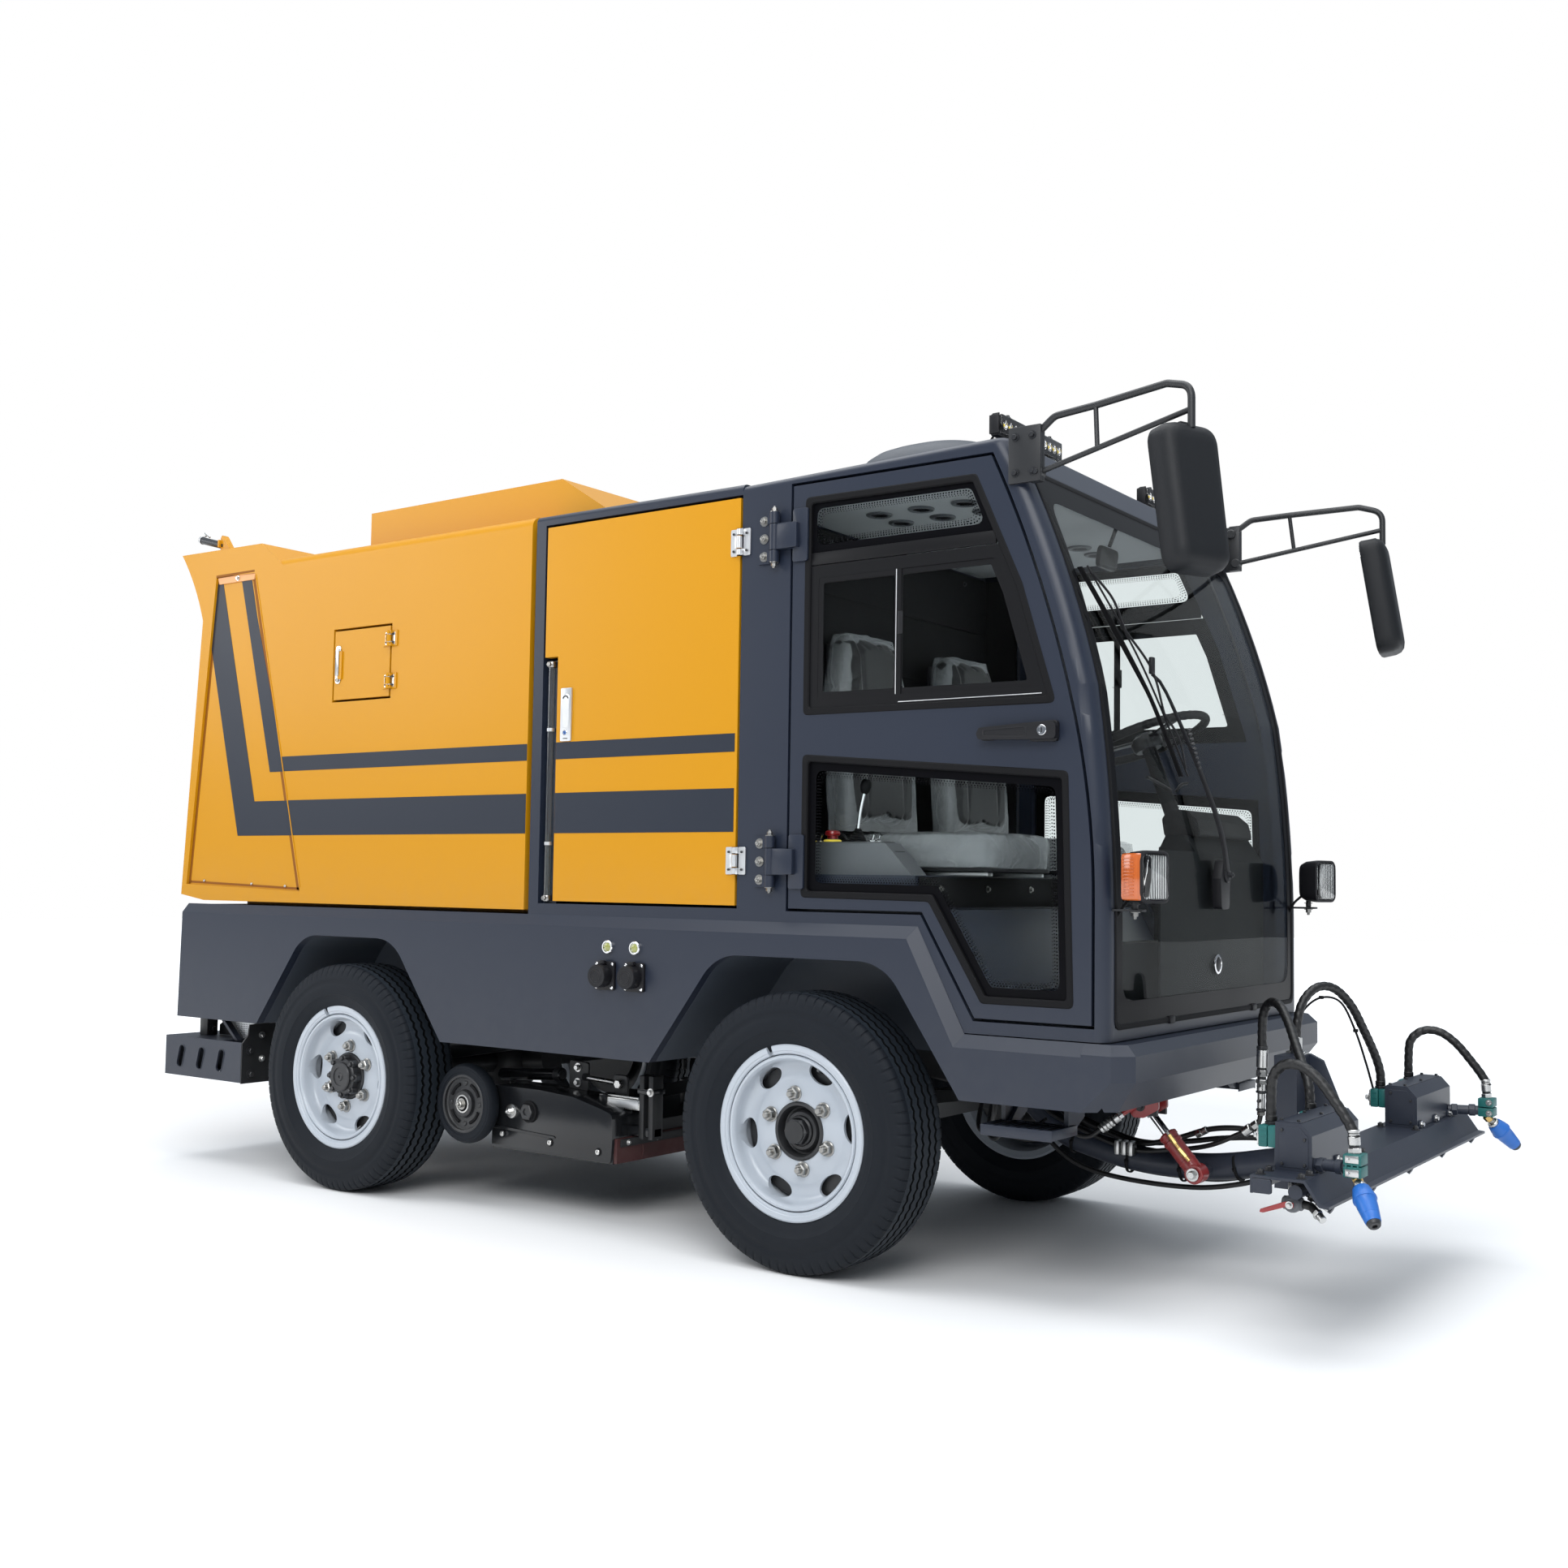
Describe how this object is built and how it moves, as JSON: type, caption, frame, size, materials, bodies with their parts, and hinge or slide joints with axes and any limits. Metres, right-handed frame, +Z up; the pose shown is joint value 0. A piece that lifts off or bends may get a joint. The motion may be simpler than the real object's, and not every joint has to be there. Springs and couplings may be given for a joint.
{
  "type": "road cleaning truck",
  "caption": "Compact electric road cleaning truck with a glazed cab, equipment bay, scooped water tank, suction deck between the axles and a boom-mounted front spray bar with hoses.",
  "frame": {"origin": "on the ground under the middle of the overall length and width", "axes": "+X forward, +Y to the vehicle's left, +Z up"},
  "size_m": [4.4316, 1.7078, 2.362],
  "materials": {
    "yellow_paint": "satin",
    "dark_paint": "satin",
    "black_steel": "satin",
    "silver_steel": "satin",
    "tyre_rubber": "matte",
    "clear_glass": "gloss",
    "black_plastic": "matte",
    "grey_plastic": "matte",
    "lamp_lens": "gloss",
    "seat_vinyl": "satin",
    "red_paint": "gloss",
    "chrome_rod": "polished",
    "teal_plastic": "satin",
    "blue_plastic": "gloss",
    "hose_rubber": "satin",
    "maroon_rubber": "matte",
    "battery_case": "satin"
  },
  "bodies": {
    "chassis": {"chassis_frame": "black_steel", "rear_bumper": "black_steel", "right_skirt": "dark_paint", "left_skirt": "dark_paint", "front_bumper": "dark_paint", "front_axle": "black_steel", "rear_axle": "black_steel", "tank_body": "yellow_paint", "roof_hopper": "yellow_paint", "bay_frame": "dark_paint", "windscreen": "clear_glass", "cab_shell": "dark_paint", "dashboard": "black_plastic", "steering_wheel": "black_plastic", "side_console": "grey_plastic", "seats": "seat_vinyl", "roof_air_unit": "dark_paint", "roof_lights": "black_plastic", "headlamps": "lamp_lens", "mirrors": "black_plastic", "wiper": "black_plastic", "steps": "black_steel", "battery_pack": "battery_case"},
    "right_knuckle_body": {"right_knuckle": "black_steel"},
    "left_knuckle_body": {"left_knuckle": "black_steel"},
    "tailgate_body": {"tailgate": "yellow_paint"},
    "hatch_body": {"filler_hatch": "yellow_paint"},
    "boom_body": {"spray_boom": "dark_paint", "hose_clamps": "teal_plastic", "spray_hoses": "hose_rubber", "rotary_nozzles": "blue_plastic"},
    "lift_barrel_body": {"lift_cylinder": "red_paint"},
    "lift_rod_body": {"lift_rod": "chrome_rod"},
    "arms_body": {"suction_arms": "black_steel"},
    "suction_body": {"suction_deck": "black_steel", "rubber_flap": "maroon_rubber"},
    "front_left_wheel": {"front_left_rim": "silver_steel", "front_left_tyre": "tyre_rubber"},
    "front_right_wheel": {"front_right_rim": "silver_steel", "front_right_tyre": "tyre_rubber"},
    "rear_left_wheel": {"rear_left_rim": "silver_steel", "rear_left_tyre": "tyre_rubber"},
    "rear_right_wheel": {"rear_right_rim": "silver_steel", "rear_right_tyre": "tyre_rubber"},
    "left_cab_door_body": {"left_cab_door": "dark_paint", "left_cab_glass": "clear_glass"},
    "left_bay_door_body": {"left_bay_door": "yellow_paint"},
    "left_support_wheel_body": {"left_support_wheel": "tyre_rubber"},
    "right_cab_door_body": {"right_cab_door": "dark_paint", "right_cab_glass": "clear_glass"},
    "right_bay_door_body": {"right_bay_door": "yellow_paint"},
    "right_support_wheel_body": {"right_support_wheel": "tyre_rubber"}
  },
  "joints": [
    {"name": "right_steering", "type": "hinge", "parent": "chassis", "child": "right_knuckle_body", "pos_m": [0.69, -0.54, 0.374], "axis": [0, 0, 1], "range_deg": [-32, 32]},
    {"name": "front_right_wheel_spin", "type": "hinge", "parent": "right_knuckle_body", "child": "front_right_wheel", "pos_m": [0.69, -0.65, 0.374], "axis": [0, 1, 0], "continuous": true},
    {"name": "rear_right_wheel_spin", "type": "hinge", "parent": "chassis", "child": "rear_right_wheel", "pos_m": [-1.16, -0.65, 0.374], "axis": [0, 1, 0], "continuous": true},
    {"name": "right_cab_door_hinge", "type": "hinge", "parent": "chassis", "child": "right_cab_door_body", "pos_m": [0.59, -0.708, 1.4], "axis": [0, 0, -1], "range_deg": [0, 75]},
    {"name": "right_bay_door_hinge", "type": "hinge", "parent": "chassis", "child": "right_bay_door_body", "pos_m": [0.461, -0.699, 1.4], "axis": [0, 0, 1], "range_deg": [0, 95]},
    {"name": "right_support_wheel_spin", "type": "hinge", "parent": "suction_body", "child": "right_support_wheel_body", "pos_m": [-0.64, -0.64, 0.325], "axis": [0, 1, 0], "continuous": true},
    {"name": "left_steering", "type": "hinge", "parent": "chassis", "child": "left_knuckle_body", "pos_m": [0.69, 0.54, 0.374], "axis": [0, 0, 1], "range_deg": [-32, 32]},
    {"name": "front_left_wheel_spin", "type": "hinge", "parent": "left_knuckle_body", "child": "front_left_wheel", "pos_m": [0.69, 0.65, 0.374], "axis": [0, 1, 0], "continuous": true},
    {"name": "rear_left_wheel_spin", "type": "hinge", "parent": "chassis", "child": "rear_left_wheel", "pos_m": [-1.16, 0.65, 0.374], "axis": [0, 1, 0], "continuous": true},
    {"name": "left_cab_door_hinge", "type": "hinge", "parent": "chassis", "child": "left_cab_door_body", "pos_m": [0.59, 0.708, 1.4], "axis": [0, 0, 1], "range_deg": [0, 75]},
    {"name": "left_bay_door_hinge", "type": "hinge", "parent": "chassis", "child": "left_bay_door_body", "pos_m": [0.461, 0.699, 1.4], "axis": [0, 0, -1], "range_deg": [0, 95]},
    {"name": "left_support_wheel_spin", "type": "hinge", "parent": "suction_body", "child": "left_support_wheel_body", "pos_m": [-0.64, 0.64, 0.325], "axis": [0, 1, 0], "continuous": true},
    {"name": "filler_hatch_hinge", "type": "hinge", "parent": "chassis", "child": "hatch_body", "pos_m": [-1.012, -0.699, 1.765], "axis": [0, 0, 1], "range_deg": [0, 110]},
    {"name": "tailgate_hinge", "type": "hinge", "parent": "chassis", "child": "tailgate_body", "pos_m": [-2.05367, 0, 1.956], "axis": [0, 1, 0], "range_deg": [0, 70]},
    {"name": "boom_lift", "type": "hinge", "parent": "chassis", "child": "boom_body", "pos_m": [1.02, 0, 0.43], "axis": [0, -1, 0], "range_deg": [-4, 8]},
    {"name": "lift_cylinder_pivot", "type": "hinge", "parent": "boom_body", "child": "lift_barrel_body", "pos_m": [1.578, -0.112, 0.284], "axis": [0, -1, 0], "range_deg": [-6, 11]},
    {"name": "lift_rod_slide", "type": "slide", "parent": "lift_barrel_body", "child": "lift_rod_body", "axis": [-0.656, 0, 0.7548], "range_m": [-0.0425, 0.0215]},
    {"name": "suction_lower", "type": "hinge", "parent": "chassis", "child": "arms_body", "pos_m": [0.17, 0, 0.455], "axis": [0, -1, 0], "range_deg": [0, 20.5]},
    {"name": "suction_level", "type": "hinge", "parent": "arms_body", "child": "suction_body", "pos_m": [-0.31412, 0, 0.33], "axis": [0, -1, 0], "range_deg": [-21, 1]}
  ],
  "couplings": [
    {"joint": "left_steering", "follows": "right_steering", "ratio": 1},
    {"joint": "lift_cylinder_pivot", "follows": "boom_lift", "ratio": 1.2905},
    {"joint": "lift_rod_slide", "follows": "boom_lift", "m_per_rad": -0.29613},
    {"joint": "suction_level", "follows": "suction_lower", "ratio": -1}
  ]
}
